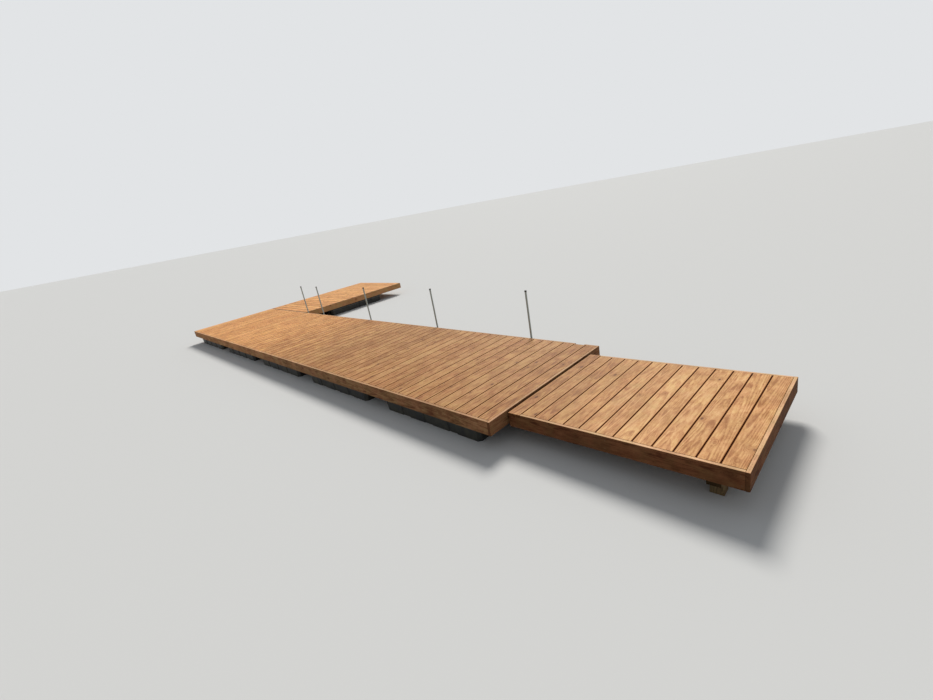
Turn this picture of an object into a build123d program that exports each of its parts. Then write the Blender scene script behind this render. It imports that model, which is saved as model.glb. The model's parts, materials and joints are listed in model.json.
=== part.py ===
from build123d import *
import math
import os

# Floating dock: a decked platform on foam-filled floats, an L-shaped arm at its lake end, a short gangway
# hinged to its shore end, and five steel poles that the platform slides up and down on.
# Millimetres. While it is built, x runs along the dock towards the shore with zero on the platform's shore
# face, y runs from the near edge to the far edge with zero on the near face, and z is zero on the deck.

# Deck boards
board_width = 151.0
board_gap = 7.0
board_thick = 28.0
end_board_width = 133.5
board_end_gap = 1.0

# Fascia boards
fascia_thick = 28.0
fascia_height = 145.0

# Platform
main_boards = 64
main_width = 2064.0
bay_count = 5
far_fascia_stop = 320.0
corner_fascia_length = 195.0

# Arm at the lake end
arm_boards = 19
arm_width = 2200.0
arm_joint = 10.0

# Gangway
gangway_boards = 12
gangway_board_width = 144.0
gangway_board_gap = 6.0
gangway_first_board = 136.0
gangway_width = 1560.0
gangway_gap = 20.0
gangway_step = 15.0
gangway_slope = 1.3

# Framing timber
joist_thick = 45.0
joist_height = 95.0
main_joist_count = 6
arm_joist_count = 6
gangway_joist_count = 5

# Floats
float_length = 1600.0
float_height = 200.0
float_bearing = 14.0
flange_thick = 8.0
flange_overhang = 25.0
float_corner = 40.0
float_draft = 3.0
flute_width = 150.0
flute_depth = 18.0
flute_slant = 16.0
flutes_per_side = 3

# Guide poles
pole_setbacks = (1060.0, 3060.0, 5150.0, 7215.0)
pole_radius = 13.45
pole_wall = 2.6
pole_above_deck = 660.0
pole_standoff = 55.0
cap_radius = 15.5
cap_height = 22.0
cap_top_thick = 4.0

# Pole guides
guide_plate_width = 100.0
guide_plate_height = 105.0
guide_plate_thick = 6.0
guide_drop = 20.0
ring_radius = 28.0
ring_wall = 6.0
ring_height = 64.0
liner_clearance = 0.5
liner_fit = 0.1
liner_flange_thick = 4.0
liner_flange_radius = 25.0
web_width = 22.0

# Arm connectors
connector_width = 120.0
connector_height = 100.0
connector_count = 3

# Gangway hinges
hinge_drop = 80.0
hinge_inset = 230.0
leaf_length = 170.0
leaf_height = 80.0
leaf_thick = 5.0
knuckle_count = 3
knuckle_radius = 9.4
knuckle_gap = 1.0
pin_radius = 6.0
pin_clearance = 0.1
pin_head_radius = 9.0
pin_head_thick = 4.0
knuckle_window_gap = 2.0

# Posts under the gangway's shore end
post_size = 95.0
bearer_height = 95.0
bearer_setback = 180.0
bearer_inset = 60.0
post_inset = 150.0

# Lengths and levels that follow from the sizes above
board_pitch = board_width + board_gap
end_piece = fascia_thick + board_end_gap + end_board_width
main_length = end_piece + main_boards * board_pitch + board_end_gap + fascia_thick
bay_length = main_length / bay_count
arm_length = 2 * (fascia_thick + board_end_gap) + arm_boards * board_pitch - board_gap
gangway_pitch = gangway_board_width + gangway_board_gap
gangway_length = gangway_first_board + gangway_boards * gangway_pitch + board_end_gap + fascia_thick
gangway_inset = (main_width - gangway_width) / 2
joist_top = -board_thick
joist_bottom = joist_top - joist_height
ground = joist_bottom - float_height
arm_near = main_width + arm_joint
arm_far = arm_near + arm_length
arm_inner = -main_length + arm_width
shore_end = gangway_gap + gangway_length
hinge_x = gangway_gap / 2
fascia_foot = hinge_drop - gangway_step - fascia_height
rise = math.radians(gangway_slope)
shore_reach = hinge_x + (shore_end - hinge_x) * math.cos(rise) - fascia_foot * math.sin(rise)
pole_y = main_width + pole_standoff
pole_top = pole_above_deck
ORIGIN = Vector((shore_reach - main_length) / 2, arm_far / 2, ground)


def block(x0, x1, y0, y1, z0, z1):
    """A straight piece of timber or plate between two corners."""
    centre = Vector((x0 + x1) / 2, (y0 + y1) / 2, (z0 + z1) / 2)
    return Pos(*centre) * Box(x1 - x0, y1 - y0, z1 - z0)


def spread(first, last, count):
    """Evenly spaced places from the first to the last."""
    step = (last - first) / (count - 1)
    return [first + i * step for i in range(count)]


def joist_centres(low, high, count):
    """Joist lines between two fascia boards, the outer ones against the fascia."""
    margin = fascia_thick + joist_thick / 2
    return spread(low + margin, high - margin, count)


def sloped(solids):
    """Pieces of the gangway, turned about its hinge so that it rises towards the shore."""
    axis = Axis((hinge_x, 0, -hinge_drop), (0, 1, 0))
    return [s.rotate(axis, -gangway_slope) for s in solids]


def save(name, solids):
    """Write one named piece, or like pieces that don't touch, with the origin under the middle."""
    shape = Compound(children=[s.moved(Location(-ORIGIN)) for s in solids])
    export_step(shape, f"parts/{name}.step")


# Decks

def main_deck_boards():
    """Boards across the platform, from the narrow one at the shore end to the lake end."""
    y0 = fascia_thick + board_end_gap
    y1 = main_width - fascia_thick - board_end_gap
    x_high = -fascia_thick - board_end_gap
    boards = [block(x_high - end_board_width, x_high, y0, y1, -board_thick, 0)]
    for i in range(main_boards):
        x1 = -end_piece - board_gap - i * board_pitch
        boards.append(block(x1 - board_width, x1, y0, y1, -board_thick, 0))
    return boards


def deck_bay(number):
    """The boards whose middles lie in one bay of the platform, counted from the shore."""
    high = -(number - 1) * bay_length
    low = -number * bay_length
    return [b for b in main_deck_boards() if low <= b.center().X < high]


def arm_deck():
    """Boards across the arm."""
    x0 = -main_length + fascia_thick + board_end_gap
    x1 = arm_inner - fascia_thick - board_end_gap
    y_first = arm_near + fascia_thick + board_end_gap
    boards = []
    for i in range(arm_boards):
        y0 = y_first + i * board_pitch
        boards.append(block(x0, x1, y0, y0 + board_width, -board_thick, 0))
    return boards


def gangway_deck():
    """Boards across the gangway: the first one, at the hinge, covers its whole width."""
    y0 = gangway_inset
    y1 = gangway_inset + gangway_width
    z1 = -gangway_step
    z0 = z1 - board_thick
    inset = fascia_thick + board_end_gap
    first_end = gangway_gap + gangway_first_board
    boards = [block(gangway_gap, first_end, y0, y1, z0, z1)]
    for i in range(gangway_boards):
        x0 = first_end + gangway_board_gap + i * gangway_pitch
        boards.append(block(x0, x0 + gangway_board_width, y0 + inset, y1 - inset, z0, z1))
    return boards


# Fascia boards

def fascia_ring(x0, x1, y0, y1):
    """Four fascia boards round a deck: the two across it run to the corners, the other two between them."""
    z0 = -fascia_height
    t = fascia_thick
    low_x = block(x0, x0 + t, y0, y1, z0, 0)
    high_x = block(x1 - t, x1, y0, y1, z0, 0)
    low_y = block(x0 + t, x1 - t, y0, y0 + t, z0, 0)
    high_y = block(x0 + t, x1 - t, y1 - t, y1, z0, 0)
    return low_x, high_x, low_y, high_y


def far_fascia():
    """The platform's far fascia, open for one board's width before its short piece at the shore corner."""
    x0 = -main_length + fascia_thick
    y0 = main_width - fascia_thick
    long_board = block(x0, -far_fascia_stop, y0, main_width, -fascia_height, 0)
    corner_board = block(-corner_fascia_length, -fascia_thick, y0, main_width, -fascia_height, 0)
    return [long_board, corner_board]


def gangway_fascias():
    """The gangway's hinge, shore, near and far boards, fitted round its full-width first board."""
    y0 = gangway_inset
    y1 = gangway_inset + gangway_width
    top = -gangway_step
    foot = top - fascia_height
    under_boards = top - board_thick
    t = fascia_thick
    first_end = gangway_gap + gangway_first_board + board_end_gap
    hinge = block(gangway_gap, gangway_gap + t, y0 + t, y1 - t, foot, under_boards)
    shore = block(shore_end - t, shore_end, y0, y1, foot, top)
    near = block(gangway_gap, shore_end - t, y0, y0 + t, foot, top)
    near -= block(gangway_gap, first_end, y0 - t, y0 + 2 * t, under_boards, top + t)
    far = block(first_end, shore_end - t, y1 - t, y1, foot, top)
    return hinge, shore, near, far


# Joists and noggings

def joists_along_x(x0, x1, centres, top):
    """Joists along the dock."""
    half = joist_thick / 2
    return [block(x0, x1, y - half, y + half, top - joist_height, top) for y in centres]


def noggings_along_y(x_places, centres, top):
    """Short pieces between neighbouring joists that run along the dock."""
    half = joist_thick / 2
    pieces = []
    for x in x_places:
        for a, b in zip(centres, centres[1:]):
            pieces.append(block(x - half, x + half, a + half, b - half, top - joist_height, top))
    return pieces


def turned(solids, x, y):
    """Pieces laid out along x, turned to run along y from the point given."""
    return [s.rotate(Axis.Z, 90).moved(Location((x, y, 0))) for s in solids]


# Floats

def flute(x, side, width):
    """The space of one groove down a float's side, narrower inwards and shallower towards the foot."""
    half_in = flute_width / 2 - flute_slant
    half_out = flute_width / 2 + flute_slant
    y_in = side * (width / 2 - flute_depth)
    y_out = side * (width / 2 + flute_depth)
    inner = ((x - half_in, y_in), (x + half_in, y_in))
    outer = ((x + half_out, y_out), (x - half_out, y_out))
    rim = Polyline(*inner, *outer, close=True)
    return extrude(make_face(rim), float_height, dir=(0, 0, -1))


def float_block(width):
    """A moulded float with its middle at the origin and its flange's top at zero, its length along x."""
    outline = chamfer(Rectangle(float_length, width).vertices(), float_corner)
    body = extrude(outline, float_height, dir=(0, 0, -1), taper=float_draft)
    for x in spread(-float_length / 2, float_length / 2, flutes_per_side + 2)[1:-1]:
        for side in (-1, 1):
            body -= flute(x, side, width)
    flange_length = float_length + 2 * flange_overhang
    flange_width = width + 2 * flange_overhang
    flange = chamfer(Rectangle(flange_length, flange_width).vertices(), float_corner)
    return body + extrude(flange, flange_thick, dir=(0, 0, -1))


def floats_between(x, pair, turn):
    """A float that its flange hangs under two neighbouring joists."""
    a, b = pair
    width = b - a + 2 * float_bearing - 2 * flange_overhang
    piece = float_block(width)
    middle = (a + b) / 2
    if turn:
        return piece.rotate(Axis.Z, 90).moved(Location((middle, x, joist_bottom)))
    return piece.moved(Location((x, middle, joist_bottom)))


# Guide poles

def pole_places():
    """Pole centres along the far side: four from the shore, then one in the inner corner."""
    places = [-setback for setback in pole_setbacks]
    places.append(arm_inner + pole_standoff)
    return places


def pole(x):
    """A steel tube."""
    z0 = ground
    height = pole_top - z0
    tube = Cylinder(pole_radius, height) - Cylinder(pole_radius - pole_wall, height)
    return tube.moved(Location((x, pole_y, z0 + height / 2)))


def pole_cap(x):
    """A plastic cap pressed over the top of a pole."""
    skirt = cap_height - cap_top_thick
    cap = Pos(0, 0, cap_top_thick - cap_height / 2) * Cylinder(cap_radius, cap_height)
    cap -= Pos(0, 0, -skirt / 2) * Cylinder(pole_radius, skirt)
    return cap.moved(Location((x, pole_y, pole_top)))


def pole_guide(x):
    """A plate bolted to the far fascia with a ring for the pole."""
    top = -guide_drop
    y0 = main_width
    half = guide_plate_width / 2
    plate_z0 = top - guide_plate_height
    plate = block(x - half, x + half, y0, y0 + guide_plate_thick, plate_z0, top)
    plate = chamfer(plate.edges().filter_by(Axis.Y), guide_plate_thick)
    ring_mid = top - guide_plate_height / 2
    ring_half = ring_height / 2
    web_half = web_width / 2
    web_end = pole_y - ring_radius + ring_wall / 2
    web = block(x - web_half, x + web_half, y0, web_end, ring_mid - ring_half, ring_mid + ring_half)
    ring = Cylinder(ring_radius, ring_height) - Cylinder(ring_radius - ring_wall, ring_height)
    return plate + web + ring.moved(Location((x, pole_y, ring_mid)))


def guide_liner(x):
    """A flanged plastic bush in a guide's ring, which the pole runs in."""
    ring_mid = -guide_drop - guide_plate_height / 2
    bore = pole_radius + liner_clearance
    outer = ring_radius - ring_wall - liner_fit
    sleeve = Cylinder(outer, ring_height)
    flange_mid = (ring_height + liner_flange_thick) / 2
    flange = Pos(0, 0, flange_mid) * Cylinder(liner_flange_radius, liner_flange_thick)
    liner = sleeve + flange - Cylinder(bore, 2 * ring_height)
    return liner.moved(Location((x, pole_y, ring_mid)))


# Arm connectors

def arm_connectors():
    """Spacer plates bolted between the platform's far fascia and the arm's fascia."""
    margin = connector_width
    places = spread(-main_length + fascia_thick + margin, arm_inner - margin, connector_count)
    z_mid = -fascia_height / 2
    half = connector_width / 2
    z0 = z_mid - connector_height / 2
    return [block(x - half, x + half, main_width, arm_near, z0, z0 + connector_height) for x in places]


# Gangway hinges

def hinge_places():
    """The middles of the two hinges along the joint."""
    return [gangway_inset + hinge_inset, gangway_inset + gangway_width - hinge_inset]


def knuckle_spans(y_mid):
    """The stretch of each knuckle along a hinge."""
    step = leaf_length / knuckle_count
    y0 = y_mid - leaf_length / 2
    half_gap = knuckle_gap / 2
    return [(y0 + i * step + half_gap, y0 + (i + 1) * step - half_gap) for i in range(knuckle_count)]


def hinge_leaf(y_mid, own_first, plate_x0):
    """A leaf with its own knuckles, and windows where the other leaf's knuckles lie."""
    z_mid = -hinge_drop
    half = leaf_height / 2
    y0 = y_mid - leaf_length / 2
    leaf = block(plate_x0, plate_x0 + leaf_thick, y0, y0 + leaf_length, z_mid - half, z_mid + half)
    window = knuckle_radius + knuckle_window_gap
    spans = knuckle_spans(y_mid)
    for i, (a, b) in enumerate(spans):
        own = i % 2 == (0 if own_first else 1)
        if own:
            barrel = Pos(hinge_x, (a + b) / 2, z_mid) * Rot(90, 0, 0) * Cylinder(knuckle_radius, b - a)
            leaf += barrel
        else:
            y_low, y_high = a - knuckle_gap, b + knuckle_gap
            leaf -= block(plate_x0, plate_x0 + leaf_thick, y_low, y_high, z_mid - window, z_mid + window)
    bore = Rot(90, 0, 0) * Cylinder(pin_radius + pin_clearance, 2 * leaf_length)
    return leaf - bore.moved(Location((hinge_x, y_mid, z_mid)))


def hinge_pin(y_mid):
    """A pin with a hexagonal head at one end and a nut at the other."""
    shank = Cylinder(pin_radius, leaf_length)
    hexagon = extrude(RegularPolygon(pin_head_radius, 6), pin_head_thick)
    shank += Pos(0, 0, leaf_length / 2) * hexagon
    shank += Pos(0, 0, -leaf_length / 2 - pin_head_thick) * hexagon
    return shank.rotate(Axis.X, 90).moved(Location((hinge_x, y_mid, -hinge_drop)))


# Gangway posts

def gangway_bearer():
    """The beam across the gangway's shore end, under its joists."""
    x0 = shore_end - bearer_setback - post_size
    y0 = gangway_inset + bearer_inset
    y1 = gangway_inset + gangway_width - bearer_inset
    z1 = joist_bottom - gangway_step
    return block(x0, x0 + post_size, y0, y1, z1 - bearer_height, z1)


def gangway_posts():
    """Short posts from the ground up to the bearer, their tops cut to its slope."""
    x0 = shore_end - bearer_setback - post_size
    z1 = joist_bottom - gangway_step - bearer_height
    first = gangway_inset + post_inset
    last = gangway_inset + gangway_width - post_inset - post_size
    space_above = sloped([block(0, 2 * shore_end, 0, main_width, z1, z1 + float_height)])[0]
    return [block(x0, x0 + post_size, y, y + post_size, ground, 0) - space_above for y in (first, last)]


os.makedirs("parts", exist_ok=True)

for bay in range(1, bay_count + 1):
    save(f"deck_bay_{bay}", deck_bay(bay))
save("arm_deck", arm_deck())
save("gangway_deck", sloped(gangway_deck()))

lake_end, shore_side, near_side, _ = fascia_ring(-main_length, 0, 0, main_width)
save("lake_end_fascia", [lake_end])
save("shore_end_fascia", [shore_side])
save("near_fascia", [near_side])
save("far_fascia", far_fascia())

arm_boards_round = fascia_ring(-main_length, arm_inner, arm_near, arm_far)
arm_outer, arm_inner_board, arm_joint_board, arm_end = arm_boards_round
save("arm_outer_fascia", [arm_outer])
save("arm_inner_fascia", [arm_inner_board])
save("arm_joint_fascia", [arm_joint_board])
save("arm_end_fascia", [arm_end])

hinge_board, shore_board, gangway_near, gangway_far = sloped(gangway_fascias())
save("gangway_hinge_fascia", [hinge_board])
save("gangway_shore_fascia", [shore_board])
save("gangway_near_fascia", [gangway_near])
save("gangway_far_fascia", [gangway_far])

main_lines = joist_centres(0, main_width, main_joist_count)
main_x0 = -main_length + fascia_thick
main_x1 = -fascia_thick
nogging_x = spread(main_x0 + joist_thick / 2, main_x1 - joist_thick / 2, bay_count + 1)
save("main_joists", joists_along_x(main_x0, main_x1, main_lines, joist_top))
save("main_noggings", noggings_along_y(nogging_x, main_lines, joist_top))

arm_lines = joist_centres(-main_length, arm_inner, arm_joist_count)
arm_span = arm_length - 2 * fascia_thick
arm_nogging_x = spread(joist_thick / 2, arm_span - joist_thick / 2, 3)
turned_lines = [-x for x in reversed(arm_lines)]
arm_start = arm_near + fascia_thick
save("arm_joists", turned(joists_along_x(0, arm_span, turned_lines, joist_top), 0, arm_start))
save("arm_noggings", turned(noggings_along_y(arm_nogging_x, turned_lines, joist_top), 0, arm_start))

gangway_lines = joist_centres(gangway_inset, gangway_inset + gangway_width, gangway_joist_count)
gangway_x0 = gangway_gap + fascia_thick
gangway_x1 = shore_end - fascia_thick
gangway_nogging_x = spread(gangway_x0 + joist_thick / 2, gangway_x1 - joist_thick / 2, 3)
gangway_joist_top = joist_top - gangway_step
gangway_joists = joists_along_x(gangway_x0, gangway_x1, gangway_lines, gangway_joist_top)
save("gangway_joists", sloped(gangway_joists))
gangway_noggings = noggings_along_y(gangway_nogging_x, gangway_lines, gangway_joist_top)
save("gangway_noggings", sloped(gangway_noggings))

bay_middles = [-(i + 0.5) * bay_length for i in range(bay_count)]
save("near_floats", [floats_between(x, main_lines[:2], False) for x in bay_middles])
save("far_floats", [floats_between(x, main_lines[-2:], False) for x in bay_middles])
arm_middle = arm_near + arm_length / 2
arm_pairs = [arm_lines[i:i + 2] for i in range(0, arm_joist_count - 1, 2)]
save("arm_floats", [floats_between(arm_middle, pair, True) for pair in arm_pairs])

for number, x in enumerate(pole_places(), start=1):
    save(f"pole_{number}", [pole(x)])
save("pole_caps", [pole_cap(x) for x in pole_places()])
save("pole_guides", [pole_guide(x) for x in pole_places()])
save("guide_liners", [guide_liner(x) for x in pole_places()])

save("arm_connectors", arm_connectors())
save("platform_hinge_leaves", [hinge_leaf(y, True, 0) for y in hinge_places()])
gangway_leaves = [hinge_leaf(y, False, gangway_gap - leaf_thick) for y in hinge_places()]
save("gangway_hinge_leaves", sloped(gangway_leaves))
save("hinge_pins", [hinge_pin(y) for y in hinge_places()])
save("gangway_bearer", sloped([gangway_bearer()]))
save("gangway_posts", gangway_posts())
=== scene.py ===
import json
import math
import random

import bmesh
import bpy
from mathutils import Matrix, Vector


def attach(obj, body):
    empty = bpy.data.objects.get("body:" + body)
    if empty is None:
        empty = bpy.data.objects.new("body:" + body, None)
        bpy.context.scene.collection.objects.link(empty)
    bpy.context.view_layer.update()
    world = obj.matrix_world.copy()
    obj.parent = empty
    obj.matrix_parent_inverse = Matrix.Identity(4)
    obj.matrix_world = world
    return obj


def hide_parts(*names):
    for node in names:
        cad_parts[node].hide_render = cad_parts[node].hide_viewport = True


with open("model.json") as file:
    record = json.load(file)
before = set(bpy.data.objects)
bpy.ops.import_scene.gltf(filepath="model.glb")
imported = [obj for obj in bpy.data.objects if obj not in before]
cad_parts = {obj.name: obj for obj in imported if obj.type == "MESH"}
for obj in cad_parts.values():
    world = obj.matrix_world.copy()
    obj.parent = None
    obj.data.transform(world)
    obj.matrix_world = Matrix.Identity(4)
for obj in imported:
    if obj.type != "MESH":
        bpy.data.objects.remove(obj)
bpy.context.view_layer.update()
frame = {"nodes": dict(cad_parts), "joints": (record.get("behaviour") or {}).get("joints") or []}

# Everything is in metres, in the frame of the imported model: +X along the dock to the gangway, +Z up.

# Timber
BOARD_EASE = 0.0035
FASCIA_EASE = 0.003
JOIST_EASE = 0.002
END_EASE = 0.001
BOARD_BOW = 0.0007
BOARD_CUTS = 5
FASCIA_SHY = Vector((0.0004, 0.0004, 0.0))
FASCIA_JOINT = 0.0012
NEAR_FASCIA_JOINTS = (0.4, 0.79)
FAR_FASCIA_JOINTS = (0.21, 0.62)
LONG_FASCIA = 5.0
SHORT_FASCIA = 1.0
NOTCH_ROOM = 0.002
SNUG_GAP = 0.002
SNUG_SHIFT = 0.009
WELD_REACH = 1e-5
SQUARE_RUN = 1e-6

# The log that a timber is sawn from
LOG_REACH = 40
PITH_SIDE = 0.055
PITH_DEPTH = (0.03, 0.12)
PITH_SLOPE = 0.012
PITH_WANDER = 0.03
KNOT_PULL = 0.012
RING_WIDTH = 0.0042

# How often a mark repeats in a metre: along the timber, across it and through it
KNOT_PITCH = (5.0, 9.0, 9.0)
WANDER_PITCH = (1.3, 9.0, 9.0)
MOTTLE_PITCH = (7.0, 34.0, 34.0)
STREAK_PITCH = (1.6, 42.0, 20.0)
FIBRE_PITCH = (9.0, 420.0, 420.0)
FLECK_PITCH = (55.0, 95.0, 95.0)

# Casts multiply a timber's shade, and a reach says where one begins and where it is full
DECK_CASTS = ((1.0, 1.005, 0.92, 1.0), (1.025, 0.975, 0.97, 1.0))
FASCIA_CASTS = ((0.95, 0.99, 0.93, 1.0), (1.07, 0.95, 0.97, 1.0))
WARM_CAST = (1.05, 0.95, 0.86)
# Painted shade darkens the boards towards the gangway, and a painted sheen lifts the gangway's tops again
LANDWARD_SHADE_CAST = (0.61, 0.61, 0.64)
LANDWARD_SHADE_REACH = (-3.5, 0.5)
GANGWAY_SHEEN_CAST = (1.50, 1.62, 1.78)
GANGWAY_SHEEN_REACH = (4.3, 5.5)
# Mottles and the clouds that cross the boards are grain and stains, and partly painted dappled shade,
# stronger landward than at the lake end
CONTRAST_REACH = (-4.5, 1.5)
LAKE_CONTRAST = 0.6
MIDDLE_DEPTH = 0.46
TONE_SPREAD = 0.3
# A pale band beside the edges: rubbed pale, and a painted highlight on the eased edges
RUBBED_AND_GLINT_REACH = (0.014, 0.008)
# Darker at the very edge of a top: dirt, and painted shade of the gap beside it
EDGE_DIRT_AND_SHADE = (0.5, 0.32, 0.16)
EDGE_DIRT_AND_SHADE_REACH = (0.0075, 0.0045)
END_DIRT = (0.9, 0.86, 0.82)
END_DIRT_REACH = (0.005, 0.002)
# Painted shade on the sides reaches this far in from an edge
SIDE_SHADE_REACH = (0.0075, 0.0055)
END_GRAIN = (0.27, 0.22, 0.18)
END_GRAIN_REACH = (0.0012, 0.0004)

# Heights at which dry turns to wet, and between which a pale line dries on the floats
WET_STEEL = (0.16, 0.11)
WET_PLASTIC = (0.145, 0.125)
DRIED_LINE_FOOT = (0.120, 0.134)
DRIED_LINE_HEAD = (0.150, 0.138)

# Screws and bolts
SCREW_SIDES = 10
SCREW_RADIUS = 0.0046
SCREW_TOP_RADIUS = SCREW_RADIUS * 0.9
SCREW_RIM = SCREW_RADIUS * 0.45
SCREW_HEIGHT = 0.0012
SCREW_RECESS = SCREW_HEIGHT * 0.7
SCREW_STAND = 0.0002
SCREW_EDGE = 0.028
SCREW_WOBBLE = 0.003
SCREW_DRIFT = 0.005
FASCIA_ROWS = (0.036, 0.108)
FASCIA_SCREW_DRIFT = 0.004
FASCIA_SCREW_MARGIN = 0.02
BOLT_WIDTH = 0.017
BOLT_HEIGHT = 0.006
BOLT_EASE = 0.0012
WASHER_SIDES = 12
WASHER_RADIUS = 0.0105
WASHER_TOP_RADIUS = WASHER_RADIUS * 0.96
WASHER_HEIGHT = 0.0016
GUIDE_PLATE_THICK = 0.006
GUIDE_BOLT_INSET = (0.014, 0.014)
FLANGE_THICK = 0.008
FLANGE_BOLT_INSET = 0.014
FLANGE_BOLT_PLACES = (-0.75, -0.375, 0.0, 0.375, 0.75)

# Pole caps
CAP_SIDES = 32
CAP_WALL = 0.0019
CAP_SOCKET = 0.0182
CAP_EASE = 0.0035

# Camera, worked out from the photograph's straight edges
IMAGE_WIDTH = 933
FOCAL_PIXELS = 427.235
SENSOR_WIDTH = 36.0
CLIP_REACH = (0.05, 2000)
CAMERA_PLACE = Vector((6.6654, -4.9621, 2.2301))
CAMERA_YAW = 2.40116
CAMERA_PITCH = -0.32748
CAMERA_ROLL = -0.18175

# Light and floor
KEY_DIRECTION = Vector((0.42, -0.68, -0.8))
KEY_STRENGTH = 2.9
KEY_SPREAD = math.radians(20)
KEY_SHADE = (1.0, 0.965, 0.9)
AMBIENT_STRENGTH = 0.34
AMBIENT_SHADE = (0.93, 0.97, 1.0, 1.0)
FLOOR_REACH = 400

# The gangway rises towards its outer end, turned about its hinge
GANGWAY_RISE = math.radians(1.3)
HINGE = Vector(next(j["pos_m"] for j in frame["joints"] if j["name"] == "gangway_hinge"))
LEVEL = Matrix()
RISEN = Matrix.Translation(HINGE) @ Matrix.Rotation(-GANGWAY_RISE, 4, "Y") @ Matrix.Translation(-HINGE)

# How a screw or bolt turns so that its head faces one way
FACING = {
    "up": Matrix(),
    "down": Matrix.Rotation(math.pi, 4, "X"),
    "near": Matrix.Rotation(math.pi / 2, 4, "X"),
    "far": Matrix.Rotation(-math.pi / 2, 4, "X"),
    "shore": Matrix.Rotation(math.pi / 2, 4, "Y"),
    "lake": Matrix.Rotation(-math.pi / 2, 4, "Y"),
}

BAYS = range(1, 6)
POLES = range(1, 6)


def colour(red, green, blue):
    """A display colour, 0 to 255, as linear values for a shader."""
    def linear(value):
        value /= 255
        return value / 12.92 if value <= 0.04045 else ((value + 0.055) / 1.055) ** 2.4
    return linear(red), linear(green), linear(blue), 1.0


# Shader maths

class Wire:
    """A shader socket that can be used in Python expressions."""

    def __init__(self, recipe, socket):
        self.recipe = recipe
        self.socket = socket

    def is_vector(self):
        return self.socket.type in ("VECTOR", "RGBA")

    def maths(self, operation, first, second):
        wires = [w for w in (first, second) if isinstance(w, Wire)]
        kind = "ShaderNodeMath"
        if any(w.is_vector() for w in wires):
            kind = "ShaderNodeVectorMath"
            first, second = [(w,) * 3 if isinstance(w, (int, float)) else w for w in (first, second)]
        return self.recipe.add(kind, {"operation": operation}, {0: first, 1: second})

    def __add__(self, other):
        return self.maths("ADD", self, other)

    def __radd__(self, other):
        return self.maths("ADD", other, self)

    def __sub__(self, other):
        return self.maths("SUBTRACT", self, other)

    def __rsub__(self, other):
        return self.maths("SUBTRACT", other, self)

    def __mul__(self, other):
        return self.maths("MULTIPLY", self, other)

    def __rmul__(self, other):
        return self.maths("MULTIPLY", other, self)

    def __truediv__(self, other):
        return self.maths("DIVIDE", self, other)

    def __rtruediv__(self, other):
        return self.maths("DIVIDE", other, self)

    def above(self, other):
        return self.maths("GREATER_THAN", self, other)

    def least(self, other):
        return self.maths("MINIMUM", self, other)

    def most(self, other):
        return self.maths("MAXIMUM", self, other)


class Recipe:
    """The nodes of a material or a world, and the one method that adds a node to them."""

    def __init__(self, owner):
        self.owner = owner
        owner.use_nodes = True
        self.tree = owner.node_tree
        self.tree.nodes.clear()

    def add(self, kind, settings=None, inputs=None, out=0):
        """A node of a kind with its settings and its inputs' values or links, as the wire of one output."""
        node = self.tree.nodes.new(kind)
        for key, value in (settings or {}).items():
            setattr(node, key, value)
        for key, value in (inputs or {}).items():
            if isinstance(value, Wire):
                self.tree.links.new(value.socket, node.inputs[key])
            else:
                node.inputs[key].default_value = value
        return Wire(self, node.outputs[out]) if node.outputs else None

    def mix(self, factor, first, second):
        """A colour between two colours."""
        settings = {"data_type": "RGBA", "clamp_factor": True}
        return self.add("ShaderNodeMix", settings, {0: factor, 6: first, 7: second}, out=2)

    def ease(self, value, low, high, start=0.0, end=1.0):
        """A smooth step from low to high."""
        settings = {"interpolation_type": "SMOOTHSTEP"}
        return self.add("ShaderNodeMapRange", settings, {0: value, 1: low, 2: high, 3: start, 4: end})

    def noise(self, vector, scale, detail=2.0, roughness=0.5):
        inputs = {"Vector": vector, "Scale": scale, "Detail": detail, "Roughness": roughness}
        return self.add("ShaderNodeTexNoise", {}, inputs)

    def cells(self, vector, scale, out=0):
        """Distance to the nearest of scattered points, or with out=1 a colour for each point."""
        return self.add("ShaderNodeTexVoronoi", {"feature": "F1"}, {"Vector": vector, "Scale": scale}, out)

    def stretched(self, vector, scales):
        """A vector scaled along each axis by its own number."""
        return self.add("ShaderNodeVectorMath", {"operation": "MULTIPLY"}, {0: vector, 1: scales})

    def part_of(self, vector, axis):
        return self.add("ShaderNodeSeparateXYZ", {}, {0: vector}, out="XYZ".index(axis))

    def place(self):
        """A spot's place in the dock."""
        return self.add("ShaderNodeTexCoord", out=3)

    def facing_up(self):
        """How far the surface faces up, from -1 to 1."""
        return self.part_of(self.add("ShaderNodeTexCoord", out=1), "Z")

    def attribute(self, name):
        """A piece's vertex attribute as a vector."""
        return self.add("ShaderNodeAttribute", {"attribute_name": name}, out=1)

    def finish(self, bump=None, bump_depth=0.0004, bump_strength=0.5, **inputs):
        """The surface shader and the material's output."""
        values = {}
        for key, value in inputs.items():
            values[key.replace("_", " ").title().replace("Ior", "IOR")] = value
        if bump is not None:
            relief = {"Strength": bump_strength, "Distance": bump_depth, "Height": bump}
            values["Normal"] = self.add("ShaderNodeBump", {}, relief)
        surface = self.add("ShaderNodeBsdfPrincipled", {}, values)
        self.add("ShaderNodeOutputMaterial", {}, {"Surface": surface})
        return self.owner


# Timber finishes

def knots(r, log):
    """Knots at random along a board: how far a spot lies in one, and in the grain that turns round it."""
    place = r.stretched(log, KNOT_PITCH)
    chance = r.part_of(r.cells(place, 1.0, out=1), "X")
    there = chance.above(0.5)
    ratio = r.cells(place, 1.0) / (0.045 + chance * 0.1)
    core = r.ease(ratio, 1.1, 0.6) * there
    swirl = r.ease(ratio, 3.0, 0.8) * there
    return core, swirl


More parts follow.
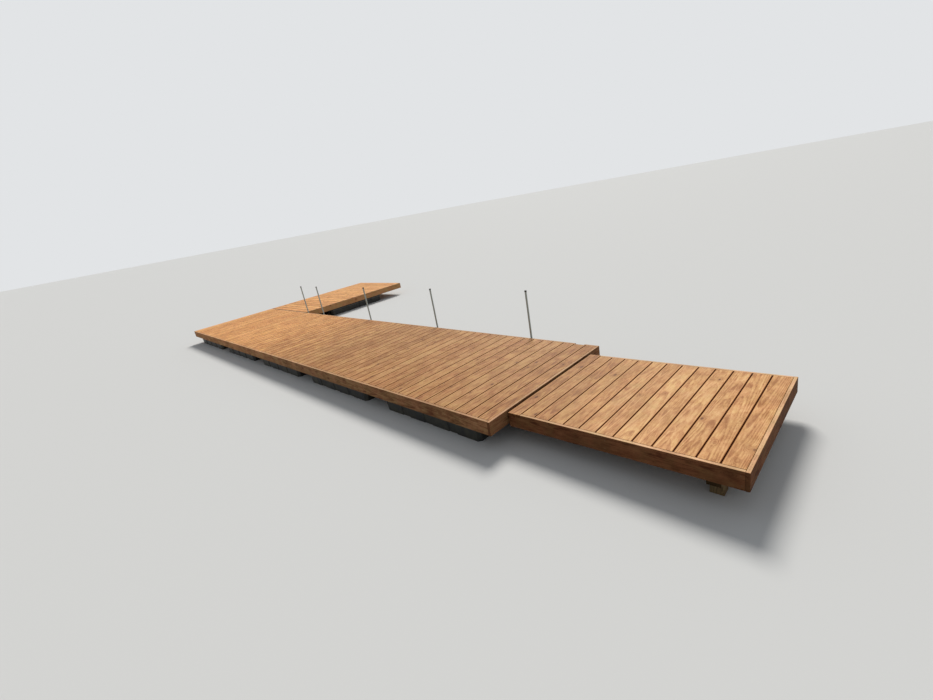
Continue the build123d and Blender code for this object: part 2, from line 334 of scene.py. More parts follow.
def year_rings(r, log, wander, swirl):
    """Rings round a pith that lies below or above the board and runs slightly askew."""
    along = r.part_of(log, "X")
    shift = {1: (wander - 0.5) * PITH_WANDER, 2: along * PITH_SLOPE + swirl * KNOT_PULL}
    pulled = log + r.add("ShaderNodeCombineXYZ", {}, shift)
    across = r.stretched(pulled, (0.0, 1.0, 1.0))
    reach = r.add("ShaderNodeVectorMath", {"operation": "LENGTH"}, {0: across}, out=1)
    phase = r.add("ShaderNodeMath", {"operation": "FRACT"}, {0: reach / RING_WIDTH + wander * 2.0})
    return pulled, r.ease(phase, 0.25, 0.9) * r.ease(phase, 1.0, 0.93)


def edge_distances(r):
    """How far a spot is from its timber's nearer long edge, and from its nearer end."""
    spot = r.attribute("spot")
    reach = r.attribute("reach")
    distances = []
    for axis in "YX":
        place = r.part_of(spot, axis)
        distances.append(r.part_of(reach, axis) - place.most(place * -1.0))
    return distances


class Grain:
    """The masks that a timber's looks are drawn from, by its place in its log and in the dock."""

    def __init__(self, r):
        self.log = r.attribute("log")
        self.place = r.place()
        self.lift, self.warmth, self.age = (r.part_of(r.attribute("tone"), axis) for axis in "XYZ")
        self.core, self.swirl = knots(r, self.log)
        wander = r.noise(r.stretched(self.log, WANDER_PITCH), 1.0, 2.0)
        pulled, self.rings = year_rings(r, self.log, wander, self.swirl)
        self.mottles = r.noise(r.stretched(pulled, MOTTLE_PITCH), 1.0, 5.0, 0.75)
        self.clouds = r.noise(self.place, 5.0, 4.0, 0.65)
        self.streaks = r.noise(r.stretched(pulled, STREAK_PITCH), 1.0, 3.0, 0.55)
        self.fibres = r.noise(r.stretched(self.log, FIBRE_PITCH), 1.0, 3.0, 0.65)
        self.landward = r.part_of(self.place, "X") + (self.clouds - 0.5) * 2.5


def lightness(r, look, shades, mottle, grain):
    """Crisp mottles along the grain and clouds that cross the boards, then streaks, rings and fibres."""
    pale, middle, deep = shades[:3]
    # The stronger contrast landward is partly painted dappled shade
    contrast = r.ease(look.landward, *CONTRAST_REACH, LAKE_CONTRAST, 1.0)
    depth = (look.mottles - 0.5) * mottle + (look.clouds - 0.5) * (mottle * 0.55)
    depth = depth + (look.streaks - 0.5) * grain + (look.rings - 0.4) * (grain * 0.6)
    depth = depth + (look.fibres - 0.5) * (grain * 0.9)
    depth = MIDDLE_DEPTH + depth * contrast + (look.lift - 0.5) * TONE_SPREAD
    base = r.mix(depth * 2.0, pale, middle)
    return r.mix(depth * 2.0 - 1.0, base, deep)


def hue(r, look, base, casts):
    """Faint pinkish and olive patches, and some boards warmer than others."""
    patches = r.ease(r.noise(look.place, 8.0, 3.0, 0.6), 0.36, 0.64)
    base = base * r.mix(patches, *casts)
    return r.mix(look.warmth * 0.35, base, base * WARM_CAST)


def marks(r, look, base, shades, stained, stain_shade):
    """Knots, broad stains, and small pale and dark flecks."""
    pale, middle, deep, knot = shades
    base = r.mix(look.swirl * 0.5, base, deep)
    base = r.mix(look.core * 0.9, base, knot)
    base = r.mix(stained * (0.55 + look.age * 0.45), base, stain_shade)
    flecks = r.noise(r.stretched(look.log, FLECK_PITCH), 1.0, 3.0, 0.7)
    base = r.mix(r.ease(flecks, 0.6, 0.74) * 0.5, base, pale)
    return r.mix(r.ease(flecks, 0.38, 0.26) * 0.5, base, deep)


def landward_shade_and_sheen(r, look, base, top):
    """Painted shade darkens the boards towards the gangway, and a painted sheen lifts the gangway's own tops
    to a paler, bluer tone.
    """
    base = r.mix(r.ease(look.landward, *LANDWARD_SHADE_REACH), base, base * LANDWARD_SHADE_CAST)
    return r.mix(r.ease(look.landward, *GANGWAY_SHEEN_REACH) * top, base, base * GANGWAY_SHEEN_CAST)


def edge_wear_and_light(r, look, base, pale, top, from_edge, from_end, edge_dirt_and_shade):
    """The tops are pale beside their edges, rubbed and with a painted highlight on the eased edges; the very
    edge is darkened by dirt and by painted shade of the gap, and dirt darkens the ends.
    """
    # Pale band: rubbed pale, and a painted highlight on the eased edges
    rubbed_and_glint = r.ease(from_edge, *RUBBED_AND_GLINT_REACH) * top
    base = r.mix(rubbed_and_glint * (0.1 + look.mottles * 0.4), base, pale)
    # Darker at the very edge: dirt, and painted shade of the gap
    base = r.mix(r.ease(from_edge, *EDGE_DIRT_AND_SHADE_REACH) * top * edge_dirt_and_shade, base, base * EDGE_DIRT_AND_SHADE)
    return r.mix(r.ease(from_end, *END_DIRT_REACH), base, base * END_DIRT)


def timber_finish(
    name, shades, side_shade_tint, stain_shade, stain=0.3, mottle=2.3, grain=0.65, roughness=0.58,
    casts=DECK_CASTS, edge_reach=(0.97, 0.5), edge_dirt_and_shade=0.3,
):
    """Sawn softwood in a pale, middle, deep and knot shade, with painted shade on its sides and dark oil in
    its end grain.
    """
    r = Recipe(bpy.data.materials.new(name))
    look = Grain(r)
    patches = r.noise(look.place, 1.7, 4.0, 0.6)
    spots = r.noise(look.place, 23.0, 4.0, 0.65)
    stained = r.ease(patches * 0.75 + spots * 0.25, 0.44, 0.62) * stain
    up = r.facing_up()
    top = r.ease(up, 0.6, 0.9)
    from_edge, from_end = edge_distances(r)

    base = lightness(r, look, shades, mottle, grain)
    base = hue(r, look, base, casts)
    base = marks(r, look, base, shades, stained, stain_shade)
    # Painted shade towards the gangway, and painted sheen on the gangway's tops
    base = landward_shade_and_sheen(r, look, base, top)
    base = edge_wear_and_light(r, look, base, shades[0], top, from_edge, from_end, edge_dirt_and_shade)
    # Painted shade: sides near an edge are darkened by the side tint, in the deck's gaps and on the fascias'
    # outer faces; the end grain is dark with oil
    side = r.ease(up.most(up * -1.0), *edge_reach) * r.ease(from_edge.least(from_end), *SIDE_SHADE_REACH)
    shaded_sides_and_end_grain = r.mix(r.ease(from_end, *END_GRAIN_REACH), base * side_shade_tint, base * END_GRAIN)
    base = r.mix(side, base, shaded_sides_and_end_grain)

    height = look.rings * 0.35 + look.fibres * 0.5 + look.core * 0.3 + look.mottles * 0.4
    rough = roughness + (look.fibres - 0.5) * 0.16 + stained * 0.12 - look.rings * 0.05 + side * 0.25
    surface = {"base_color": base, "roughness": rough, "specular_ior_level": 0.12}
    return r.finish(height, 0.0006, 0.45, **surface)


# Finishes of steel and plastic

def steel_finish():
    """Hot-dip galvanised steel: faint spangle, dull streaks and a darker wet foot."""
    r = Recipe(bpy.data.materials.new("galvanised_steel_finish"))
    place = r.place()
    spangle = r.part_of(r.cells(place, 160.0, out=1), "X")
    bloom = r.noise(place, 26.0, 4.0, 0.6)
    runs = r.noise(r.stretched(place, (90.0, 90.0, 6.0)), 1.0, 3.0)
    height = r.part_of(place, "Z")
    wet = r.ease(height + (runs - 0.5) * 0.05, *WET_STEEL)
    base = r.mix(spangle * 0.45 + bloom * 0.4, colour(140, 149, 145), colour(176, 183, 178))
    base = r.mix(r.ease(bloom, 0.58, 0.74) * 0.6, base, colour(192, 196, 190))
    base = r.mix(r.ease(runs, 0.6, 0.75) * 0.35, base, colour(98, 100, 92))
    base = r.mix(wet * 0.8, base, colour(62, 64, 52))
    rough = 0.42 + bloom * 0.22 + spangle * 0.06
    relief = spangle * 0.4 + bloom * 0.6
    return r.finish(relief, 0.0003, 0.35, base_color=base, roughness=rough, metallic=0.6 - wet * 0.4)


def screw_finish():
    """Stainless screw heads, a little dulled."""
    r = Recipe(bpy.data.materials.new("stainless_finish"))
    bloom = r.noise(r.place(), 320.0, 3.0)
    base = r.mix(bloom, colour(92, 84, 74), colour(140, 132, 120))
    return r.finish(bloom, 0.0001, 0.3, base_color=base, roughness=0.32 + bloom * 0.2, metallic=0.9)


def float_finish():
    """Black moulded plastic with fine grain, scuffs and a pale dried line above a wet foot."""
    r = Recipe(bpy.data.materials.new("float_plastic_finish"))
    place = r.place()
    grain = r.noise(place, 900.0, 2.0)
    scuffs = r.noise(r.stretched(place, (14.0, 14.0, 60.0)), 1.0, 5.0, 0.65)
    scuffed = r.ease(scuffs, 0.56, 0.7)
    silt = r.noise(place, 9.0, 5.0, 0.6)
    height = r.part_of(place, "Z")
    wet = r.ease(height + (silt - 0.5) * 0.03, *WET_PLASTIC)
    level = height + (silt - 0.5) * 0.02
    line = r.ease(level, *DRIED_LINE_FOOT) * r.ease(level, *DRIED_LINE_HEAD)
    base = r.mix(scuffed * 0.5, colour(20, 21, 22), colour(40, 42, 43))
    base = r.mix(wet * r.ease(silt, 0.35, 0.7) * 0.7, base, colour(58, 56, 42))
    base = r.mix(line * 0.45, base, colour(112, 110, 98))
    rough = 0.5 + grain * 0.08 + scuffed * 0.15
    return r.finish(grain * 0.5 + scuffs * 0.5, 0.0004, 0.3, base_color=base, roughness=rough)


def cap_finish():
    """Black plastic of the caps and bushes."""
    r = Recipe(bpy.data.materials.new("black_plastic_finish"))
    place = r.place()
    grain = r.noise(place, 700.0, 2.0)
    dust = r.noise(place, 40.0, 4.0)
    base = r.mix(r.ease(dust, 0.5, 0.75) * 0.5, colour(44, 45, 44), colour(96, 96, 88))
    return r.finish(grain, 0.0002, 0.3, base_color=base, roughness=0.45 + dust * 0.2)


FASCIA_GRAIN = {"mottle": 2.2, "grain": 0.7, "casts": FASCIA_CASTS}
# On the fascias the painted shade of the sides starts lower down the rounded edge, so the rim stays pale
PALE_RIM = {"edge_reach": (0.85, 0.4), "edge_dirt_and_shade": 0.1}
# The third value of each timber is its side tint, painted shade on its sides: darkest in the deck's gaps,
# lighter on the fascias' outer faces, darker on the gangway's than the platform's, none on the framing
DECKING = timber_finish(
    "decking_finish",
    (colour(246, 194, 130), colour(220, 159, 100), colour(170, 106, 54), colour(108, 54, 20)),
    (0.2, 0.07, 0.02), colour(182, 136, 92), edge_reach=(0.998, 0.84), edge_dirt_and_shade=1.0,
)
FASCIA = timber_finish(
    "fascia_finish",
    (colour(244, 198, 150), colour(222, 172, 124), colour(156, 102, 68), colour(88, 46, 28)),
    (0.565, 0.52, 0.455), colour(140, 90, 62), stain=0.5, **FASCIA_GRAIN, **PALE_RIM,
)
# The joint fascia is dark all over: painted shade of the seam beside it, with some dirt
SEAM_SHADE_FASCIA = timber_finish(
    "seam_shade_fascia_finish",
    (colour(160, 112, 70), colour(134, 90, 54), colour(98, 60, 36), colour(62, 34, 20)),
    (0.7, 0.6, 0.5), colour(96, 62, 42), stain=0.5, **FASCIA_GRAIN,
)
GANGWAY_FASCIA = timber_finish(
    "gangway_fascia_finish",
    (colour(248, 204, 152), colour(228, 179, 128), colour(162, 106, 66), colour(88, 46, 28)),
    (0.315, 0.23, 0.18), colour(140, 90, 62), stain=0.4, **FASCIA_GRAIN, **PALE_RIM,
)
FRAMING = timber_finish(
    "framing_finish",
    (colour(172, 150, 112), colour(146, 122, 86), colour(112, 88, 58), colour(84, 60, 38)),
    (1.0, 1.0, 1.0), colour(96, 90, 66), stain=0.6, mottle=1.2, grain=0.8, roughness=0.75,
)
STEEL = steel_finish()
SCREW = screw_finish()
FLOAT = float_finish()
BLACK = cap_finish()


# Mesh helpers

def solids_of(node, lie=LEVEL):
    """The lowest and highest corner of each solid in a CAD node, along the dock, without its tilt."""
    mesh = bmesh.new()
    mesh.from_mesh(frame["nodes"][node].data)
    mesh.transform(lie.inverted())
    bmesh.ops.remove_doubles(mesh, verts=mesh.verts, dist=WELD_REACH)
    unseen = set(mesh.verts)
    boxes = []
    while unseen:
        group = [unseen.pop()]
        for vert in group:
            for edge in vert.link_edges:
                other = edge.other_vert(vert)
                if other in unseen:
                    unseen.discard(other)
                    group.append(other)
        low = Vector(min(v.co[i] for v in group) for i in range(3))
        high = Vector(max(v.co[i] for v in group) for i in range(3))
        boxes.append((low, high))
    mesh.free()
    return sorted(boxes, key=lambda box: (round(box[0].x, 4), round(box[0].y, 4), round(box[0].z, 4)))


def as_data(name, mesh):
    """A bmesh as mesh data, with the bmesh freed."""
    data = bpy.data.meshes.new(name)
    mesh.to_mesh(data)
    mesh.free()
    return data


def placed(name, data):
    """A new object in the scene, at the origin."""
    thing = bpy.data.objects.new(name, data)
    bpy.context.scene.collection.objects.link(thing)
    return thing


def make_piece(name, mesh, material, body, replaces=()):
    """A finished piece from a bmesh, riding on its body."""
    data = as_data(name, mesh)
    data.materials.append(material)
    piece = placed(name, data)
    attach(piece, body)
    if replaces:
        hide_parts(*replaces)


def joined(*meshes):
    """Several bmeshes as one."""
    whole = bmesh.new()
    for mesh in meshes:
        part = as_data("part", mesh)
        whole.from_mesh(part)
        bpy.data.meshes.remove(part)
    return whole


def bevel(mesh, edges, offset, segments=2):
    """Ease edges by an offset."""
    bmesh.ops.bevel(
        mesh, geom=edges, offset=offset, offset_type="OFFSET", segments=segments, profile=0.5,
        affect="EDGES", clamp_overlap=True, material=-1,
    )


def height_of(face):
    """A face's height, to find the top or the foot of a shape."""
    return face.calc_center_median().z


class Timbers:
    """Sawn timbers gathered in one mesh, each with its own place in a log and its own tone."""

    def __init__(self, seed, lie=LEVEL):
        self.lie = lie
        self.mesh = bmesh.new()
        self.log = self.mesh.verts.layers.float_vector.new("log")
        self.tone = self.mesh.verts.layers.float_vector.new("tone")
        self.spot = self.mesh.verts.layers.float_vector.new("spot")
        self.reach = self.mesh.verts.layers.float_vector.new("reach")
        self.done = self.mesh.verts.layers.int.new("done")
        self.random = random.Random(seed)

    def fresh(self):
        """The vertices of the newest timber."""
        return [v for v in self.mesh.verts if not v[self.done]]

    def add(self, low, high, ease, bow=0.0, cuts=0, notch=None, snug=0):
        """One timber between two corners, with eased edges, a slight bow, and without its edge darkening
        where it is snug.
        """
        size = high - low
        middle = (low + high) / 2
        order = sorted(range(3), key=lambda axis: size[axis], reverse=True)
        along = order[0]
        if notch:
            self.add_notched(low, high, *notch)
        else:
            shape = Matrix.Translation(middle) @ Matrix.Diagonal(size).to_4x4()
            bmesh.ops.create_cube(self.mesh, size=1.0, matrix=shape)
        bevel(self.mesh, self.long_edges(along, size[along] / 2), ease)
        bevel(self.mesh, self.end_edges(along), END_EASE)
        if cuts:
            runs = self.long_edges(along, size[along] / 2)
            bmesh.ops.subdivide_edges(self.mesh, edges=runs, cuts=cuts, use_grid_fill=True)
        self.settle(middle, size, order, bow, snug)

    def edge_runs(self, along):
        """Each edge of the newest timber, with how far it runs along the timber."""
        edges = dict.fromkeys(e for v in self.fresh() for e in v.link_edges)
        return [(e, abs(e.verts[0].co[along] - e.verts[1].co[along])) for e in edges]

    def long_edges(self, along, least):
        return [e for e, run in self.edge_runs(along) if run > least]

    def end_edges(self, along):
        return [e for e, run in self.edge_runs(along) if run < SQUARE_RUN]

    def add_notched(self, low, high, length, depth):
        """A timber along the dock whose upper corner at its low end is cut away."""
        outline = [
            (low.x, low.z), (high.x, low.z), (high.x, high.z), (low.x + length, high.z),
            (low.x + length, high.z - depth), (low.x, high.z - depth),
        ]
        verts = [self.mesh.verts.new((x, low.y, z)) for x, z in outline]
        face = self.mesh.faces.new(verts)
        grown = bmesh.ops.extrude_face_region(self.mesh, geom=[face])
        moved = [g for g in grown["geom"] if isinstance(g, bmesh.types.BMVert)]
        bmesh.ops.translate(self.mesh, verts=moved, vec=(0, high.y - low.y, 0))
        faces = list({f for v in self.fresh() for f in v.link_faces})
        bmesh.ops.recalc_face_normals(self.mesh, faces=faces)

    def settle(self, middle, size, order, bow, snug):
        """Give the newest timber its grain and tone, and bend it a little."""
        along, across, thick = order
        level = thick if across == 2 else across
        pick = self.random.uniform
        pith = Vector((pick(-LOG_REACH, LOG_REACH), pick(-PITH_SIDE, PITH_SIDE), pick(*PITH_DEPTH)))
        pith.z *= self.random.choice((-1, 1))
        turn = self.random.choice((-1, 1))
        tone = Vector((self.random.random(), self.random.random(), self.random.random()))
        lift = pick(-bow, bow)
        cup = pick(0, bow)
        for vert in self.fresh():
            local = vert.co - middle
            vert[self.log] = Vector((turn * local[along], turn * local[across], local[thick])) + pith
            vert[self.tone] = tone
            vert[self.spot] = Vector((local[along], local[level] - snug * SNUG_SHIFT / 2, 0))
            vert[self.reach] = Vector((size[along], size[level] + abs(snug) * SNUG_SHIFT, 0)) / 2
            vert[self.done] = 1
            if bow and vert.co.z > middle.z:
                swing = math.cos(local[along] / size[along] * math.pi)
                crown = 1 - (2 * local[across] / size[across]) ** 2
                vert.co.z += lift * swing + cup * crown

    def finish(self, name, material, body, slot, replaces):
        self.mesh.verts.layers.int.remove(self.done)
        self.mesh.transform(self.lie)
        make_piece(name, self.mesh, material, body, replaces)


# Timber pieces

def snug_side(low, high, axis, rims):
    """A board's long edge that lies against a rim board: -1 for the low one, 1 for the high one, or 0."""
    for rim_low, rim_high in rims:
        if abs(rim_low[axis] - high[axis]) < SNUG_GAP:
            return 1
        if abs(rim_high[axis] - low[axis]) < SNUG_GAP:
            return -1
    return 0


def board_piece(node, name, body, seed, rim_nodes, axis, lie=LEVEL):
    """Deck boards of one node, laid one after another along an axis between rim boards."""
    timbers = Timbers(seed, lie)
    rims = [box for rim in rim_nodes for box in solids_of(rim, lie)]
    for low, high in solids_of(node, lie):
        snug = snug_side(low, high, axis, rims)
        timbers.add(low, high, BOARD_EASE, BOARD_BOW, BOARD_CUTS, snug=snug)
    timbers.finish(name, DECKING, body, "decking", [node])


def fascia_piece(node, body, seed, joints=(), lie=LEVEL, notch=None, finish=FASCIA):
    """A node's fascia boards, the longest one in several lengths that meet at the given shares of it."""
    timbers = Timbers(seed, lie)
    for low, high in solids_of(node, lie):
        low, high = low + FASCIA_SHY, high - FASCIA_SHY
        size = high - low
        along = max(range(3), key=lambda axis: size[axis])
        stops = [0.0, *(joints if size[along] > LONG_FASCIA else ()), 1.0]
        for start, end in zip(stops, stops[1:]):
            first, last = low.copy(), high.copy()
            first[along] = low[along] + start * size[along] + (FASCIA_JOINT / 2 if start else 0)
            last[along] = low[along] + end * size[along] - (FASCIA_JOINT / 2 if end < 1 else 0)
            timbers.add(first, last, FASCIA_EASE, notch=notch)
    timbers.finish(node + "_board", finish, body, "fascia_timber", [node])


def framing_piece(node, body, seed, lie=LEVEL):
    """Joists, noggings, bearer or posts of one node."""
    timbers = Timbers(seed, lie)
    for low, high in solids_of(node, lie):
        timbers.add(low, high, JOIST_EASE)
    timbers.finish(node + "_timber", FRAMING, body, "framing_timber", [node])


def near_notch():
    """Length and depth of the notch in the gangway's near fascia, under its first board."""
    first_board = solids_of("gangway_deck", RISEN)[0]
    fascia = solids_of("gangway_near_fascia", RISEN)[0]
    return first_board[1].x + NOTCH_ROOM - fascia[0].x, first_board[1].z - first_board[0].z


platform_rims = ("lake_end_fascia", "shore_end_fascia")
for bay in BAYS:
    board_piece(f"deck_bay_{bay}", f"boards_bay_{bay}", "platform", 10 + bay, platform_rims, 0)
board_piece("arm_deck", "boards_arm", "platform", 20, ("arm_joint_fascia", "arm_end_fascia"), 1)
board_piece("gangway_deck", "boards_gangway", "gangway", 21, ("gangway_shore_fascia",), 0, RISEN)

fascia_piece("near_fascia", "platform", 31, NEAR_FASCIA_JOINTS)
fascia_piece("far_fascia", "platform", 32, FAR_FASCIA_JOINTS)
for seed, side in enumerate(("lake_end", "shore_end", "arm_outer", "arm_inner"), start=33):
    fascia_piece(f"{side}_fascia", "platform", seed)
# The joint fascia is painted dark as the shade of the seam
fascia_piece("arm_joint_fascia", "platform", 37, finish=SEAM_SHADE_FASCIA)
fascia_piece("arm_end_fascia", "platform", 38)
fascia_piece("gangway_near_fascia", "gangway", 41, lie=RISEN, notch=near_notch(), finish=GANGWAY_FASCIA)
for seed, side in enumerate(("far", "shore", "hinge"), start=42):
    fascia_piece(f"gangway_{side}_fascia", "gangway", seed, lie=RISEN, finish=GANGWAY_FASCIA)

for seed, node in enumerate(("main_joists", "main_noggings", "arm_joists", "arm_noggings"), start=51):
    framing_piece(node, "platform", seed)
for seed, node in enumerate(("gangway_joists", "gangway_noggings", "gangway_bearer"), start=61):
    framing_piece(node, "gangway", seed, RISEN)
framing_piece("gangway_posts", "gangway", 64)


# Screws

def screw_shape():
    """A countersunk head that stands a hair above the board, with a round recess."""
    mesh = bmesh.new()
    bmesh.ops.create_cone(
        mesh, cap_ends=True, segments=SCREW_SIDES, depth=SCREW_HEIGHT, radius1=SCREW_RADIUS,
        radius2=SCREW_TOP_RADIUS,
    )
    top = max(mesh.faces, key=height_of)
    bmesh.ops.inset_region(mesh, faces=[top], thickness=SCREW_RIM)
    bmesh.ops.translate(mesh, verts=top.verts, vec=(0, 0, -SCREW_RECESS))
    return as_data("screw_shape", mesh)


def bolt_shape():
    """A hexagonal bolt head on a round washer, standing up from zero."""
    mesh = bmesh.new()
    bmesh.ops.create_cone(
        mesh, cap_ends=True, segments=WASHER_SIDES, depth=WASHER_HEIGHT, radius1=WASHER_RADIUS,
        radius2=WASHER_TOP_RADIUS, matrix=Matrix.Translation((0, 0, WASHER_HEIGHT / 2)),
    )
    corner = BOLT_WIDTH / 2 / math.cos(math.pi / 6)
    middle = WASHER_HEIGHT + BOLT_HEIGHT / 2
    bmesh.ops.create_cone(
        mesh, cap_ends=True, segments=6, radius1=corner, radius2=corner, depth=BOLT_HEIGHT,
        matrix=Matrix.Translation((0, 0, middle)),
    )
    top = max(mesh.faces, key=height_of)
    bevel(mesh, list(top.edges), BOLT_EASE, 1)
    return as_data("bolt_shape", mesh)


def scattered(shape, places, face="up"):
    """Copies of a shape at several places, in one bmesh, all facing one way."""
    mesh = bmesh.new()
    for place in places:
        copy = shape.copy()
        copy.transform(Matrix.Translation(place) @ FACING[face])
        mesh.from_mesh(copy)
        bpy.data.meshes.remove(copy)
    return mesh


def screw_places(deck, joists, axis, seed, lie=LEVEL):
    """Two screws in every board over every joist, a little out of line as hands set them."""
    pick = random.Random(seed).uniform
    lines = [(low + high) / 2 for low, high in solids_of(joists, lie)]
    places = []
    for low, high in solids_of(deck, lie):
        top = high.z + SCREW_STAND - SCREW_HEIGHT / 2
        for line in lines:
            for edge in (low[axis] + SCREW_EDGE, high[axis] - SCREW_EDGE):
                wobble, drift = pick(-SCREW_WOBBLE, SCREW_WOBBLE), pick(-SCREW_DRIFT, SCREW_DRIFT)
                place = Vector((0, 0, top))
                place[axis] = edge + wobble
                place[1 - axis] = line[1 - axis] + drift
                places.append(place)
    return places


def fascia_screws(fascia, framing, face, seed, lie=LEVEL):
    """Screws through the outer face of a fascia board into what lies behind it, in two rows."""
    pick = random.Random(seed).uniform
    axis = 0 if face in ("near", "far") else 1
    other = 1 - axis
    outward = 1 if face in ("far", "shore") else -1
    sink = FASCIA_SHY[other] - SCREW_STAND + SCREW_HEIGHT / 2
    lines = sorted({round((low[axis] + high[axis]) / 2, 3) for low, high in solids_of(framing, lie)})
    places = []
    for low, high in solids_of(fascia, lie):
        if high[axis] - low[axis] < SHORT_FASCIA:
            continue
        surface = (high[other] if outward > 0 else low[other]) - outward * sink
        for line in lines:
            if not low[axis] + FASCIA_SCREW_MARGIN < line < high[axis] - FASCIA_SCREW_MARGIN:
                continue
            for row in FASCIA_ROWS:
                place = Vector((0, 0, high.z - row + pick(-SCREW_WOBBLE, SCREW_WOBBLE)))
                place[axis] = line + pick(-FASCIA_SCREW_DRIFT, FASCIA_SCREW_DRIFT)
                place[other] = surface
                places.append(place)
    mesh = scattered(screw, places, face)
    mesh.transform(lie)
    return mesh


screw = screw_shape()
bolt = bolt_shape()
for bay in BAYS:
    spots = screw_places(f"deck_bay_{bay}", "main_joists", 0, 70 + bay)
    make_piece(f"screws_bay_{bay}", scattered(screw, spots), SCREW, "platform")
arm_spots = screw_places("arm_deck", "arm_joists", 1, 80)
make_piece("screws_arm", scattered(screw, arm_spots), SCREW, "platform")
gangway_spots = screw_places("gangway_deck", "gangway_joists", 0, 81, RISEN)
gangway_screws = scattered(screw, gangway_spots)
gangway_screws.transform(RISEN)
make_piece("screws_gangway", gangway_screws, SCREW, "gangway")

platform_screws = joined(
    fascia_screws("near_fascia", "main_noggings", "near", 91),
    fascia_screws("far_fascia", "main_noggings", "far", 92),
    fascia_screws("shore_end_fascia", "main_joists", "shore", 93),
    fascia_screws("lake_end_fascia", "main_joists", "lake", 94),
    fascia_screws("arm_outer_fascia", "arm_noggings", "lake", 95),
    fascia_screws("arm_inner_fascia", "arm_noggings", "shore", 96),
    fascia_screws("arm_end_fascia", "arm_joists", "far", 97),
)
make_piece("screws_fascia", platform_screws, SCREW, "platform")
rim_screws = joined(
    fascia_screws("gangway_near_fascia", "gangway_noggings", "near", 98, RISEN),
    fascia_screws("gangway_far_fascia", "gangway_noggings", "far", 99, RISEN),
    fascia_screws("gangway_shore_fascia", "gangway_joists", "shore", 100, RISEN),
)
make_piece("screws_gangway_fascia", rim_screws, SCREW, "gangway")


# Bolts

def guide_bolts():
    """Four bolts at the corners of each pole guide's plate."""
    across, down = GUIDE_BOLT_INSET
    places = []
    for low, high in solids_of("pole_guides"):
        for x in (low.x + across, high.x - across):
            for z in (low.z + down, high.z - down):
                places.append(Vector((x, low.y + GUIDE_PLATE_THICK, z)))
    return scattered(bolt, places, "far")


def float_bolts(node, along):
    """Bolts up through each float's flange into the joists that carry it."""
    across = 1 - along
    places = []
    for low, high in solids_of(node):
        middle = (low + high) / 2
        for line in (low[across] + FLANGE_BOLT_INSET, high[across] - FLANGE_BOLT_INSET):
            for step in FLANGE_BOLT_PLACES:
                place = Vector((0, 0, high.z - FLANGE_THICK))
                place[along] = middle[along] + step
                place[across] = line
                places.append(place)
    return scattered(bolt, places, "down")


make_piece("bolts_guides", guide_bolts(), STEEL, "platform")
along_floats = [float_bolts(node, 0) for node in ("near_floats", "far_floats")]
every_float_bolt = joined(*along_floats, float_bolts("arm_floats", 1))
make_piece("bolts_floats", every_float_bolt, STEEL, "platform")


# Finishes of the CAD pieces that stay

def dress(material, *nodes):
    """Give CAD nodes a finish."""
    for node in nodes:
        for spot in frame["nodes"][node].material_slots:
            spot.material = material


dress(FLOAT, "near_floats", "far_floats", "arm_floats")
dress(STEEL, "pole_guides", "arm_connectors", "platform_hinge_leaves", "gangway_hinge_leaves")
dress(STEEL, *[f"pole_{number}" for number in POLES])
dress(SCREW, "hinge_pins")
dress(BLACK, "guide_liners")


# Pole caps

def cap_shape(low, high):
    """A pressed-on cap with a rounded top edge and a socket for the pole."""
    mesh = bmesh.new()
    radius = (high.x - low.x) / 2
    bmesh.ops.create_cone(
        mesh, cap_ends=True, segments=CAP_SIDES, radius1=radius, radius2=radius, depth=high.z - low.z,
        matrix=Matrix.Translation((low + high) / 2),
    )
    foot = min(mesh.faces, key=height_of)
    bmesh.ops.inset_region(mesh, faces=[foot], thickness=CAP_WALL)
    bmesh.ops.translate(mesh, verts=foot.verts, vec=(0, 0, CAP_SOCKET))
    top = max(mesh.faces, key=height_of)
    bevel(mesh, list(top.edges), CAP_EASE, 3)
    return mesh


caps = joined(*[cap_shape(low, high) for low, high in solids_of("pole_caps")])
make_piece("caps_rounded", caps, BLACK, "guide_poles", ["pole_caps"])


# Floor, light and camera

def floor_piece():
    """A plain pale floor that stays pale to the horizon."""
    mesh = bmesh.new()
    bmesh.ops.create_grid(mesh, x_segments=1, y_segments=1, size=FLOOR_REACH)
    data = as_data("floor", mesh)
    r = Recipe(bpy.data.materials.new("floor_finish"))
    data.materials.append(r.finish(base_color=colour(214, 215, 216), roughness=0.95, specular_ior_level=0.1))
    floor = placed("floor", data)


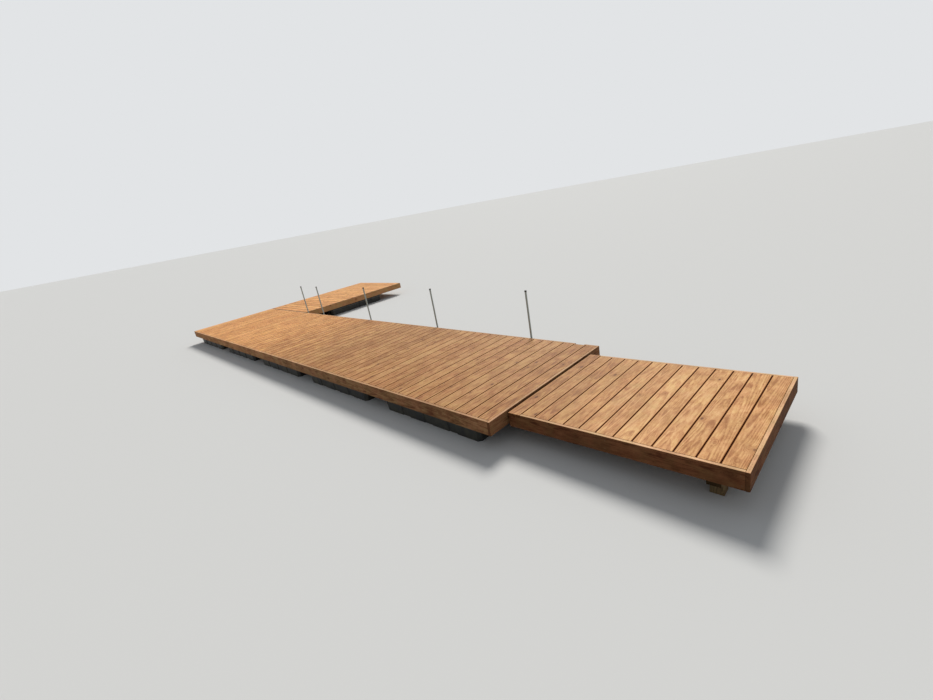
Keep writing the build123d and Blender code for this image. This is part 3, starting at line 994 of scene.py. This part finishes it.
def sky():
    """Even ambient light, and a pale background."""
    world = bpy.data.worlds.new("studio")
    r = Recipe(world)
    seen = r.add("ShaderNodeLightPath")
    for out in ("Is Glossy Ray", "Is Transmission Ray"):
        seen = seen.most(r.add("ShaderNodeLightPath", out=out))
    lit = r.add("ShaderNodeBackground", {}, {"Color": AMBIENT_SHADE, "Strength": AMBIENT_STRENGTH})
    shown = r.add("ShaderNodeBackground", {}, {"Color": colour(226, 228, 230)})
    surface = r.add("ShaderNodeMixShader", {}, {0: seen, 1: lit, 2: shown})
    r.add("ShaderNodeOutputWorld", {}, {"Surface": surface})
    bpy.context.scene.world = world


def key_lamp():
    """A broad, soft lamp that shines from above the dock's far side."""
    lamp = bpy.data.lights.new("key", "SUN")
    lamp.energy = KEY_STRENGTH
    lamp.angle = KEY_SPREAD
    lamp.color = KEY_SHADE
    holder = placed("key", lamp)
    holder.rotation_mode = "QUATERNION"
    holder.rotation_quaternion = KEY_DIRECTION.to_track_quat("-Z", "Y")


def camera():
    """The photograph's viewpoint."""
    heading = Vector((math.cos(CAMERA_YAW), math.sin(CAMERA_YAW), 0))
    look = heading * math.cos(CAMERA_PITCH) + Vector((0, 0, math.sin(CAMERA_PITCH)))
    level = Vector((math.sin(CAMERA_YAW), -math.cos(CAMERA_YAW), 0))
    rise = level.cross(look)
    right = level * math.cos(CAMERA_ROLL) + rise * math.sin(CAMERA_ROLL)
    up = rise * math.cos(CAMERA_ROLL) - level * math.sin(CAMERA_ROLL)
    lens = bpy.data.cameras.new("photo_camera")
    lens.sensor_width = SENSOR_WIDTH
    lens.lens = FOCAL_PIXELS / IMAGE_WIDTH * SENSOR_WIDTH
    lens.clip_start, lens.clip_end = CLIP_REACH
    holder = placed("photo_camera", lens)
    turn = Matrix((right, up, -look)).transposed().to_4x4()
    holder.matrix_world = Matrix.Translation(CAMERA_PLACE) @ turn
    bpy.context.scene.camera = holder


floor_piece()
sky()
key_lamp()
camera()
bpy.context.scene.view_settings.view_transform = "Standard"
